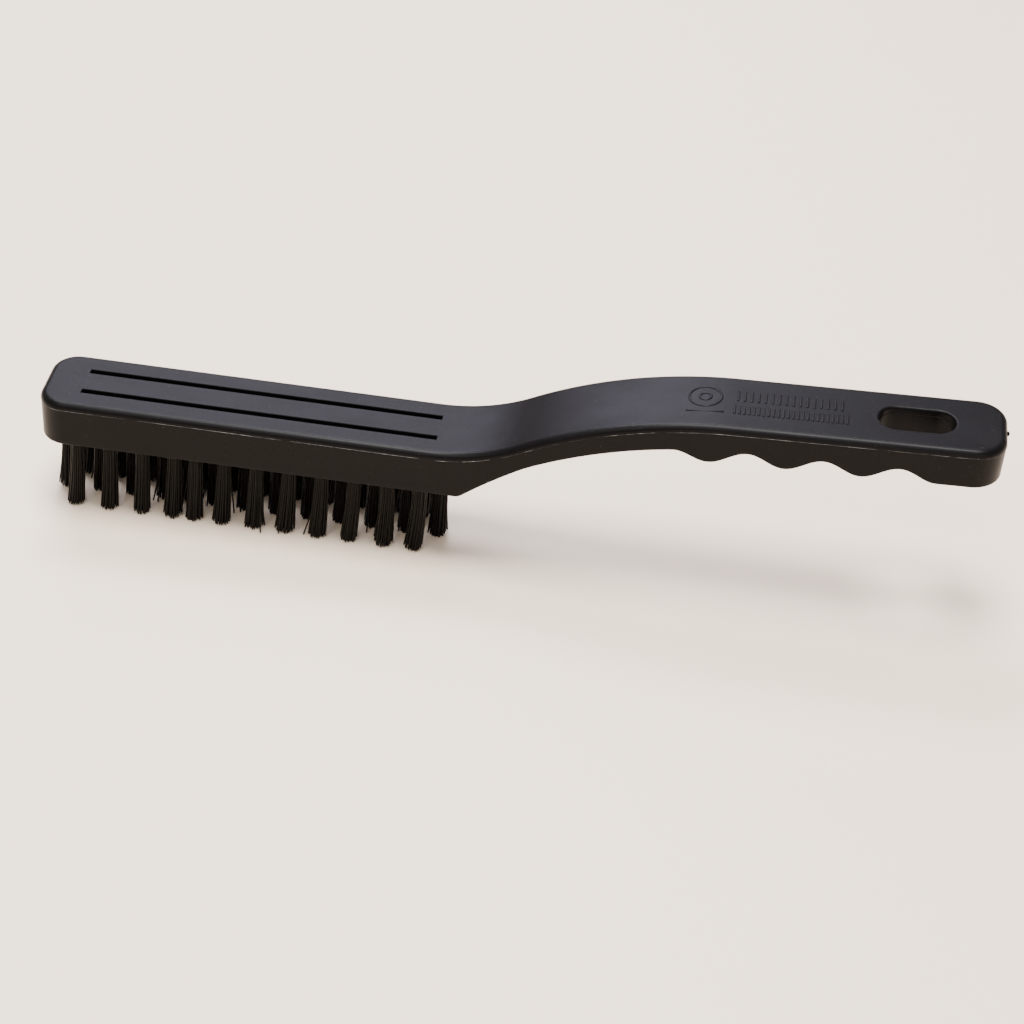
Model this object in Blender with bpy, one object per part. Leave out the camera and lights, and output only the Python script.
# Anti-static bench brush: one moulded black head and handle, and thirty-seven
# tufts of stiff conductive nylon stapled into three rows of blind holes.
# Metres, +Z up, +X from the tip of the head to the end of the handle. The brush
# stands on its tufts, with the tuft tips on z = 0 and the origin under its middle.
# Places along the brush are measured from the tip of the head, and an empty that
# everything is parented to puts the middle of the brush over the origin.
import math

import bmesh
import bpy

# ---- driving dimensions, in metres ----
OVERALL_LENGTH = 0.2214
BODY_WIDTH = 0.021
HEAD_TOP_Z = 0.0313         # flat top of the head above the tuft tips
HEAD_THICKNESS = 0.0116
HEAD_HEEL_X = 0.1000        # the head's underside ends here and the handle starts
TIP_CORNER_RADIUS = 0.0062  # corners of the head, seen from above
END_CORNER_RADIUS = 0.0070  # corners of the handle end, seen from above
TOP_EDGE_RADIUS = 0.0016
UNDER_EDGE_RADIUS = 0.0006

RISE_START_X = 0.0925       # the top stops being flat here and sweeps up
RISE_ANGLE = math.radians(28.0)
LOWER_BEND_RADIUS = 0.045
UPPER_BEND_RADIUS = 0.110
HANDLE_TILT = math.radians(2.4)  # the grip climbs very slightly to its end

NECK_THICKNESS = 0.0068
HEEL_LENGTH = 0.0160        # the underside thins from head to neck over this
FINGER_LOBE_X = 0.1561      # lowest point of the first finger lobe
FINGER_PITCH = 0.0170
FINGER_LOBES = 4            # the last lobe runs on as the end block
FINGER_DEPTH = 0.0031       # lobe to hollow

SLOT_START_X = 0.1927       # hang slot
SLOT_END_X = 0.2098
SLOT_WIDTH = 0.0085

GROOVE_Y = 0.0040           # two long square-ended grooves in the head's top
GROOVE_WIDTH = 0.0015
GROOVE_DEPTH = 0.0015
GROOVE_START_X = 0.0095
GROOVE_END_X = 0.0935

TUFT_PITCH = 0.0078
SIDE_ROW_TUFTS = 12
ROW_Y = 0.0064
FIRST_TUFT_X = 0.0086
CLOSE_STEPS = {4: 0.65, 5: 0.87}  # two steps of the drilling are short
HOLE_RADIUS = 0.00170
HOLE_DEPTH = 0.0050
TUFT_ROOT_RADIUS = 0.00138
TUFT_TIP_RADIUS = 0.00225
TUFT_CLEARANCE = 0.0005     # room over the tuft's fold

# ---- how finely the round parts are drawn ----
SWEEP_STEP = 0.0030         # along gently bent stretches
FLAT_STEP = 0.0120          # along the flat head
BEND_LEAD = 0.0090          # the finer steps start this far before the heel
FINGER_STEP = 0.00126       # along the finger grips
CORNER_STEPS = 7
EDGE_STEPS = 4
HOLE_SIDES = 12
TUFT_SIDES = 12
OVERSHOOT = 0.004           # cutters run this far past the face they open
SLOT_REACH = 0.020          # the slot's cutter reaches this far under the top
WELD_DISTANCE = 0.00001

# ---- stand-in colours and finish, before the real look is put on ----
BODY_COLOUR = (0.028, 0.029, 0.032)
BODY_ROUGHNESS = 0.42
BRISTLE_COLOUR = (0.018, 0.017, 0.017)
BRISTLE_ROUGHNESS = 0.50

HEAD_BOTTOM_Z = HEAD_TOP_Z - HEAD_THICKNESS


def clear_scene():
    for old in list(bpy.data.objects):
        bpy.data.objects.remove(old, do_unlink=True)


def new_collection(name):
    collection = bpy.data.collections.new(name)
    bpy.context.scene.collection.children.link(collection)
    return collection


def plastic(name, colour, roughness):
    material = bpy.data.materials.new(name)
    material.use_nodes = True
    shader = material.node_tree.nodes["Principled BSDF"]
    shader.inputs["Base Color"].default_value = (*colour, 1.0)
    shader.inputs["Roughness"].default_value = roughness
    shader.inputs["Metallic"].default_value = 0.0
    return material


def top_z(x):
    """Height of the top line: flat, an upward bend, a longer downward bend, then the tilted grip."""
    if x <= RISE_START_X:
        return HEAD_TOP_Z
    first_end_x = RISE_START_X + LOWER_BEND_RADIUS * math.sin(RISE_ANGLE)
    if x <= first_end_x:
        run = x - RISE_START_X
        return HEAD_TOP_Z + LOWER_BEND_RADIUS - math.sqrt(LOWER_BEND_RADIUS ** 2 - run ** 2)
    first_end_z = HEAD_TOP_Z + LOWER_BEND_RADIUS * (1.0 - math.cos(RISE_ANGLE))
    sine_change = math.sin(RISE_ANGLE) - math.sin(HANDLE_TILT)
    second_end_x = first_end_x + UPPER_BEND_RADIUS * sine_change
    reach = min(x, second_end_x)
    slope_angle = math.asin(math.sin(RISE_ANGLE) - (reach - first_end_x) / UPPER_BEND_RADIUS)
    bend_z = first_end_z + UPPER_BEND_RADIUS * (math.cos(slope_angle) - math.cos(RISE_ANGLE))
    return bend_z + (x - reach) * math.tan(HANDLE_TILT)


def handle_thickness(x):
    """Depth under the top line: the heel thins to the neck, then the finger grips wave."""
    first_hollow_x = FINGER_LOBE_X - FINGER_PITCH / 2.0
    last_lobe_x = FINGER_LOBE_X + (FINGER_LOBES - 1) * FINGER_PITCH
    if x < first_hollow_x:
        left = max(0.0, 1.0 - (x - HEAD_HEEL_X) / HEEL_LENGTH)
        heel_depth = top_z(HEAD_HEEL_X) - HEAD_BOTTOM_Z
        return NECK_THICKNESS + (heel_depth - NECK_THICKNESS) * left ** 2
    phase = (min(x, last_lobe_x) - FINGER_LOBE_X) / FINGER_PITCH
    return NECK_THICKNESS + FINGER_DEPTH * 0.5 * (1.0 + math.cos(2.0 * math.pi * phase))


def bottom_z(x):
    if x <= HEAD_HEEL_X:
        return HEAD_BOTTOM_Z
    return top_z(x) - handle_thickness(x)


def side_stations():
    """Where along the straight side the body gets a cross line."""
    stops = [(TIP_CORNER_RADIUS, SWEEP_STEP), (HEAD_HEEL_X - BEND_LEAD, FLAT_STEP)]
    stops += [(HEAD_HEEL_X, SWEEP_STEP), (FINGER_LOBE_X - FINGER_PITCH / 2.0, SWEEP_STEP)]
    stops += [(FINGER_LOBE_X + (FINGER_LOBES - 1) * FINGER_PITCH, FINGER_STEP)]
    stops += [(OVERALL_LENGTH - END_CORNER_RADIUS, SWEEP_STEP)]
    stations = [stops[0][0]]
    for (start, _), (end, step) in zip(stops, stops[1:]):
        count = max(1, round((end - start) / step))
        stations += [start + (end - start) * k / count for k in range(1, count + 1)]
    return stations


def half_outline():
    """One side of the plan outline, from the tip to the handle end: (x, y, outward x, outward y)."""
    half_width = BODY_WIDTH / 2.0
    points = []
    for k in range(CORNER_STEPS):
        angle = math.pi / 2.0 * k / CORNER_STEPS
        out_x, out_y = -math.cos(angle), math.sin(angle)
        centre = (TIP_CORNER_RADIUS, half_width - TIP_CORNER_RADIUS)
        points.append((centre[0] + out_x * TIP_CORNER_RADIUS, centre[1] + out_y * TIP_CORNER_RADIUS,
                       out_x, out_y))
    points += [(x, half_width, 0.0, 1.0) for x in side_stations()]
    for k in range(1, CORNER_STEPS + 1):
        angle = math.pi / 2.0 * (1.0 - k / CORNER_STEPS)
        out_x, out_y = math.cos(angle), math.sin(angle)
        centre = (OVERALL_LENGTH - END_CORNER_RADIUS, half_width - END_CORNER_RADIUS)
        points.append((centre[0] + out_x * END_CORNER_RADIUS, centre[1] + out_y * END_CORNER_RADIUS,
                       out_x, out_y))
    return points


def body_rings():
    """Levels from the top face round to the underside: (inset from the outline, drop, from the top?)."""
    rings = []
    for k in range(EDGE_STEPS + 1):
        angle = math.pi / 2.0 * k / EDGE_STEPS
        rings.append((TOP_EDGE_RADIUS * (1.0 - math.sin(angle)),
                      TOP_EDGE_RADIUS * (1.0 - math.cos(angle)), True))
    rings.append((0.0, UNDER_EDGE_RADIUS, False))
    rings.append((UNDER_EDGE_RADIUS, 0.0, False))
    return rings


def make_body_mesh():
    """The solid body before its holes: a skin lofted down the plan outline, closed by cross strips."""
    mesh = bmesh.new()
    side = half_outline()
    rings = []
    for inset, drop, from_top in body_rings():
        level = []
        for mirror in (1.0, -1.0):
            row = []
            for x, y, out_x, out_y in side:
                px, py = x - out_x * inset, (y - out_y * inset) * mirror
                z = top_z(px) - drop if from_top else bottom_z(px) + drop
                row.append(mesh.verts.new((px, py, z)))
            level.append(row)
        rings.append(level)
    last = len(side) - 1
    for upper, lower in zip(rings, rings[1:]):
        for k in range(last):
            mesh.faces.new((upper[0][k], upper[0][k + 1], lower[0][k + 1], lower[0][k]))
            mesh.faces.new((upper[1][k + 1], upper[1][k], lower[1][k], lower[1][k + 1]))
        mesh.faces.new((upper[1][0], upper[0][0], lower[0][0], lower[1][0]))
        mesh.faces.new((upper[0][last], upper[1][last], lower[1][last], lower[0][last]))
    for level, flip in ((rings[0], False), (rings[-1], True)):
        for k in range(last):
            quad = [level[0][k], level[1][k], level[1][k + 1], level[0][k + 1]]
            mesh.faces.new(quad[::-1] if flip else quad)
    bmesh.ops.recalc_face_normals(mesh, faces=mesh.faces)
    for face in mesh.faces:
        face.smooth = True
    return mesh


def make_datum():
    """The empty at the tip of the head, which every part and cutter is parented to."""
    datum = bpy.data.objects.new("head_tip_datum", None)
    bpy.context.scene.collection.objects.link(datum)
    datum.location.x = -OVERALL_LENGTH / 2.0
    return datum


def mesh_object(name, mesh, collection, material=None):
    data = bpy.data.meshes.new(name)
    mesh.to_mesh(data)
    mesh.free()
    made = bpy.data.objects.new(name, data)
    made.parent = bpy.data.objects["head_tip_datum"]
    collection.objects.link(made)
    if material:
        data.materials.append(material)
    return made


def side_row_x():
    """Tuft places along one side row, with the two close steps."""
    places = [FIRST_TUFT_X]
    for step in range(1, SIDE_ROW_TUFTS):
        places.append(places[-1] + TUFT_PITCH * CLOSE_STEPS.get(step, 1.0))
    return places


def middle_row_x():
    """The middle row stands between the side tufts, with one more beyond each end."""
    side = side_row_x()
    between = [(a + b) / 2.0 for a, b in zip(side, side[1:])]
    return [side[0] - TUFT_PITCH / 2.0] + between + [side[-1] + TUFT_PITCH / 2.0]


def tuft_places():
    """Every tuft as (row name, number in its row, x, y)."""
    rows = (("front", side_row_x(), -ROW_Y), ("middle", middle_row_x(), 0.0),
            ("back", side_row_x(), ROW_Y))
    return [(name, k + 1, x, y) for name, xs, y in rows for k, x in enumerate(xs)]


def add_cone(mesh, x, y, z_low, z_high, radius_low, radius_high, sides):
    """One upright cone or cylinder with closed ends, in the given mesh."""
    made = bmesh.ops.create_cone(mesh, cap_ends=True, segments=sides, radius1=radius_low,
                                 radius2=radius_high, depth=z_high - z_low)
    bmesh.ops.translate(mesh, verts=made["verts"], vec=(x, y, (z_low + z_high) / 2.0))


def tuft_hole_cutter(collection):
    mesh = bmesh.new()
    for _, _, x, y in tuft_places():
        add_cone(mesh, x, y, HEAD_BOTTOM_Z - OVERSHOOT, HEAD_BOTTOM_Z + HOLE_DEPTH,
                 HOLE_RADIUS, HOLE_RADIUS, HOLE_SIDES)
    return mesh_object("tuft_holes", mesh, collection)


def rounded_slot(name, start_x, end_x, y, width, z_low, z_high, collection):
    """A long round-ended block: a filled flat outline, extruded, then made a mesh."""
    radius = width / 2.0
    outline = bpy.data.curves.new(name, "CURVE")
    outline.dimensions = "2D"
    outline.fill_mode = "BOTH"
    outline.extrude = (z_high - z_low) / 2.0
    points = []
    for centre_x, turn in ((end_x - radius, -math.pi / 2.0), (start_x + radius, math.pi / 2.0)):
        for k in range(CORNER_STEPS * 2 + 1):
            angle = turn + math.pi * k / (CORNER_STEPS * 2)
            points.append((centre_x + radius * math.cos(angle), y + radius * math.sin(angle)))
    spline = outline.splines.new("POLY")
    spline.points.add(len(points) - 1)
    for point, (px, py) in zip(spline.points, points):
        point.co = (px, py, 0.0, 1.0)
    spline.use_cyclic_u = True
    flat = bpy.data.objects.new(name + "_outline", outline)
    collection.objects.link(flat)
    flat.location.z = (z_low + z_high) / 2.0
    bpy.context.view_layer.update()
    seen = flat.evaluated_get(bpy.context.evaluated_depsgraph_get())
    mesh = bmesh.new()
    data = bpy.data.meshes.new_from_object(seen)
    mesh.from_mesh(data)
    bmesh.ops.remove_doubles(mesh, verts=mesh.verts, dist=WELD_DISTANCE)
    bmesh.ops.recalc_face_normals(mesh, faces=mesh.faces)
    block = mesh_object(name, mesh, collection)
    block.location = flat.location
    bpy.data.objects.remove(flat, do_unlink=True)
    bpy.data.meshes.remove(data)
    return block


def groove_cutter(name, y, collection):
    """A square-ended bar, standing proud of the head's top so that it cuts through the face."""
    mesh = bmesh.new()
    bmesh.ops.create_cube(mesh, size=1.0)
    size = (GROOVE_END_X - GROOVE_START_X, GROOVE_WIDTH, GROOVE_DEPTH + OVERSHOOT)
    bmesh.ops.scale(mesh, vec=size, verts=mesh.verts)
    groove = mesh_object(name, mesh, collection)
    middle_z = HEAD_TOP_Z + (OVERSHOOT - GROOVE_DEPTH) / 2.0
    groove.location = ((GROOVE_START_X + GROOVE_END_X) / 2.0, y, middle_z)
    return groove


def cut(body, cutter):
    cutter.display_type = "WIRE"
    cutter.hide_render = True
    boolean = body.modifiers.new(cutter.name, "BOOLEAN")
    boolean.operation = "DIFFERENCE"
    boolean.solver = "EXACT"
    boolean.object = cutter


def make_handle_body(parts, cutters, material):
    body = mesh_object("handle_body", make_body_mesh(), parts, material)
    cut(body, tuft_hole_cutter(cutters))
    cut(body, rounded_slot("hang_slot", SLOT_START_X, SLOT_END_X, 0.0, SLOT_WIDTH,
                           top_z(SLOT_START_X) - SLOT_REACH, top_z(SLOT_END_X) + OVERSHOOT, cutters))
    for side, y in (("front", -GROOVE_Y), ("back", GROOVE_Y)):
        cut(body, groove_cutter("groove_" + side, y, cutters))
    return body


def make_tuft(row, number, x, y, parts, material):
    """One bundle: straight inside its hole, opening a little toward the tips."""
    mesh = bmesh.new()
    root_z = HEAD_BOTTOM_Z + HOLE_DEPTH - TUFT_CLEARANCE
    add_cone(mesh, 0.0, 0.0, 0.0, root_z, TUFT_TIP_RADIUS, TUFT_ROOT_RADIUS, TUFT_SIDES)
    middle = [e for e in mesh.edges if abs(e.verts[0].co.z - e.verts[1].co.z) > root_z / 2.0]
    neck_share = HEAD_BOTTOM_Z / root_z
    cuts = bmesh.ops.subdivide_edges(mesh, edges=middle, cuts=1)
    for made in cuts["geom_inner"]:
        if isinstance(made, bmesh.types.BMVert):
            reach = TUFT_ROOT_RADIUS / math.hypot(made.co.x, made.co.y)
            made.co = (made.co.x * reach, made.co.y * reach, root_z * neck_share)
    for face in mesh.faces:
        face.smooth = len(face.verts) == 4
    tuft = mesh_object("tuft_%s_%02d" % (row, number), mesh, parts, material)
    tuft.location = (x, y, 0.0)
    return tuft


def build():
    clear_scene()
    make_datum()
    parts = new_collection("antistatic_bench_brush")
    cutters = new_collection("cutters")
    body_plastic = plastic("black_body_plastic", BODY_COLOUR, BODY_ROUGHNESS)
    bristle_nylon = plastic("black_bristle_nylon", BRISTLE_COLOUR, BRISTLE_ROUGHNESS)
    make_handle_body(parts, cutters, body_plastic)
    for row, number, x, y in tuft_places():
        make_tuft(row, number, x, y, parts, bristle_nylon)


build()
